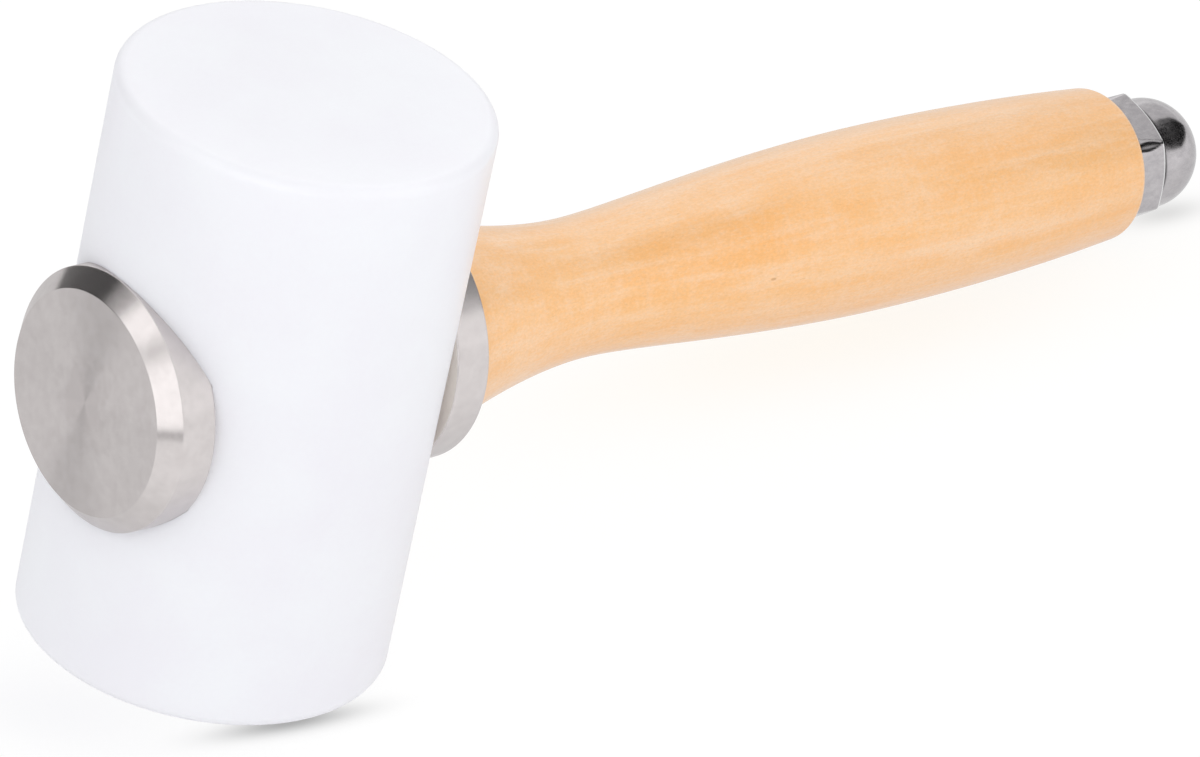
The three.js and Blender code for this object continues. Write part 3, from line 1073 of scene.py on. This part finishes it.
# Cards for the steel to mirror: the place on the handle's axis, in millimetres, that each is seen from,
# the azimuths and elevations that it fills from there, its distance, its level and its slant
CARDS = (
    ("card_behind", -CAP_FACE, (85, 150), (-2.5, 47), 0.9, 0.01, 0),
    ("card_left", -CAP_FACE, (-165, -128), (3, 48), 0.9, 1.75, 0),
    ("card_above", -CAP_FACE, (142, 187), (42, 70), 0.85, 1.75, 0),
    ("card_horizon", -CAP_FACE, (-165, -128), (-3.2, 2.4), 0.85, 0.35, 0),
    ("card_side", -CAP_FACE, (-45, 40), (20, 62), 0.35, 1.25, 0),
    ("card_nut", NUT_BASE, (-41, 7), (-1, 36.5), 0.12, 0.01, 12),
    ("card_past_nut", NUT_BASE, (3, 42), (8, 45), 0.22, 0.75, 0),
    ("card_right", -CAP_FACE, (-75, -42), (0, 26), 1.4, 1.2, 0),
    ("card_back", -CAP_FACE, (22, 78), (4, 50), 1.6, 1.2, 0),
    ("card_collar", COLLAR_FACE, (-50, -4), (22, 58), 0.12, 0.2, 0),
)


def stage_object(name, mesh, material):
    """A piece of the studio, which isn't part of the tool."""
    made = bpy.data.objects.new(name, mesh)
    mesh.materials.append(material)
    bpy.context.scene.collection.objects.link(made)
    return made


def left_by_painted_oval(tree, spot, centre, reach, turn, taken):
    """The colour of the light that a painted soft oval of shadow or reflection leaves. It fades outwards as
    a bell curve does.
    """
    inputs = {
        "Vector": spot,
        "Location": Vector((*centre, 0)) * MM,
        "Rotation": (0, 0, math.radians(turn)),
        "Scale": (reach[0] * MM, reach[1] * MM, 1),
    }
    off = tree.node("Mapping", inputs, vector_type="TEXTURE").outputs[0]
    squared = tree.node("VectorMath", {0: off, 1: off}, operation="DOT_PRODUCT").outputs["Value"]
    fade = tree.math("EXPONENT", tree.math("DIVIDE", squared, -2.0))
    return tree.mixed(fade, WHITE, colour(*[1 - share for share in taken]))


def floor_material():
    """White. What the camera sees of it is lifted to white, keeps a little of the tool's real shadow, and
    carries painted shadows under the head and the nut, a painted grey reflection of the head and a painted
    warm reflection of the handle. Everything else is lit by it as by white paper."""
    material = bpy.data.materials.new("floor_white")
    tree = Tree(material)
    path = tree.node("LightPath").outputs
    spot = tree.node("TexCoord").outputs["Object"]
    _, across, _ = tree.parts(spot)
    level = tree.spread(across, -FLOOR_MIRRORED_REACH, 0.0, FLOOR_MIRRORED_NEAR, FLOOR_MIRRORED_FAR)
    white = tree.node("Emission", {"Color": WHITE, "Strength": level}).outputs[0]
    paper = tree.node("BsdfDiffuse", {"Color": FLOOR_WHITE}).outputs[0]
    mirrored = tree.math("MAXIMUM", path["Is Glossy Ray"], path["Is Transmission Ray"])
    unseen = tree.node("MixShader", {0: mirrored, 1: paper, 2: white}).outputs[0]
    lifted = WHITE
    # Painted shadows and painted reflections, as soft ovals
    for shade in FLOOR_PAINTED_SHADOWS_AND_REFLECTIONS:
        lifted = tree.multiplied(left_by_painted_oval(tree, spot, *shade), lifted)
    glow = tree.node("Emission", {"Color": lifted, "Strength": FLOOR_GLOW}).outputs[0]
    lit = tree.node("BsdfDiffuse", {"Color": FLOOR_LIT}).outputs[0]
    seen = tree.node("AddShader", {0: glow, 1: lit}).outputs[0]
    either = tree.node("MixShader", {0: path["Is Camera Ray"], 1: unseen, 2: seen}).outputs[0]
    tree.node("OutputMaterial", {"Surface": either})
    return material


def make_floor():
    """The floor, a square that is far wider than the view."""
    mesh = bpy.data.meshes.new("floor")
    signs = ((-1, -1), (1, -1), (1, 1), (-1, 1))
    mesh.from_pydata([(x * FLOOR_HALF, y * FLOOR_HALF, -FLOOR_DROP) for x, y in signs], [], [(0, 1, 2, 3)])
    stage_object("floor", mesh, floor_material())


def make_world():
    """White light all round, strongest from the sides. Metal sees an even room, and the camera sees
    pure white."""
    world = bpy.data.worlds.new("studio")
    bpy.context.scene.world = world
    tree = Tree(world)
    path = tree.node("LightPath").outputs
    upward = tree.parts(tree.node("TexCoord").outputs["Generated"])[2]
    light = tree.spread(upward, 0.0, 1.0, WORLD_LIGHT_LOW, WORLD_LIGHT_HIGH)
    mirrored = tree.level(path["Is Glossy Ray"], light, WORLD_SHEEN)
    strength = tree.level(path["Is Camera Ray"], mirrored, 1.0)
    background = tree.node("Background", {"Color": WHITE, "Strength": strength})
    tree.node("OutputWorld", {"Surface": background.outputs[0]})


def direction(azimuth, elevation):
    """A unit vector in the row frame. Azimuth is measured from +X towards +Y."""
    a = math.radians(azimuth)
    e = math.radians(elevation)
    return Vector((math.cos(a) * math.cos(e), math.sin(a) * math.cos(e), math.sin(e)))


def make_card(name, seen_from, azimuths, elevations, distance, level, slant):
    """A card that shows only in reflections, curved about the place that it is seen from. Its lower edge
    is higher at the first azimuth, by the slant in degrees."""
    material = bpy.data.materials.new(name)
    tree = Tree(material)
    glow = tree.node("Emission", {"Color": WHITE, "Strength": level})
    tree.node("OutputMaterial", {"Surface": glow.outputs[0]})
    centre = TOOL @ Vector((seen_from * MM, 0, 0))
    count = CARD_STEPS + 1
    points = []
    for j in range(count):
        for i in range(count):
            share = i / CARD_STEPS
            low = elevations[0] + slant * (1 - share)
            aim = direction(blended(*azimuths, share), blended(low, elevations[1], j / CARD_STEPS))
            points.append(centre + aim * distance)
    starts = [j * count + i for j in range(CARD_STEPS) for i in range(CARD_STEPS)]
    mesh = bpy.data.meshes.new(name)
    mesh.from_pydata(points, [], [(a, a + 1, a + count + 1, a + count) for a in starts])
    card = stage_object(name, mesh, material)
    card.visible_camera = False
    card.visible_diffuse = False
    card.visible_shadow = False
    card.visible_transmission = False


def make_lamp(name, lit, azimuth, elevation, distance, size, level):
    """A soft lamp. Its level is the brightness that it adds to a white card that faces it beside the lit
    node."""
    lamp = bpy.data.lights.new(name, "AREA")
    lamp.shape = "DISK"
    lamp.size = size
    lamp.energy = level * (math.pi * distance) ** 2
    made = bpy.data.objects.new(name, lamp)
    bpy.context.scene.collection.objects.link(made)
    away = direction(azimuth, elevation)
    made.location = middle(lit) + away * distance
    made.rotation_mode = "QUATERNION"
    made.rotation_quaternion = away.to_track_quat("Z", "Y")
    made.visible_glossy = False


def make_camera():
    """The photograph's camera. Its azimuth is measured from -Y of the tool's frame towards +X."""
    azimuth = math.radians(CAMERA_AZIMUTH)
    elevation = math.radians(CAMERA_ELEVATION)
    back = Vector((
        math.sin(azimuth) * math.cos(elevation),
        -math.cos(azimuth) * math.cos(elevation),
        math.sin(elevation),
    ))
    level = Vector((0, 0, 1)).cross(back).normalized()
    upright = Matrix((level, back.cross(level), back)).transposed().to_4x4()
    data = bpy.data.cameras.new("camera")
    data.sensor_fit = "HORIZONTAL"
    data.lens = CAMERA_LENS
    camera = bpy.data.objects.new("camera", data)
    bpy.context.scene.collection.objects.link(camera)
    place = Matrix.Translation((Vector(CAMERA_TARGET) + CAMERA_DISTANCE * back) * MM)
    camera.matrix_world = TOOL @ place @ upright @ Matrix.Rotation(math.radians(CAMERA_ROLL), 4, "Z")
    bpy.context.scene.camera = camera


make_camera()
make_head(nylon_material())
steel = turned_steel_material()
make_cap(steel)
make_collar(steel)
make_handle(wood_material())
make_nut(nut_steel_material())
make_stud(stud_material())

make_floor()
make_world()
for lamp in LAMPS:
    make_lamp(*lamp)
for card in CARDS:
    make_card(*card)
bpy.context.scene.view_settings.view_transform = "Standard"
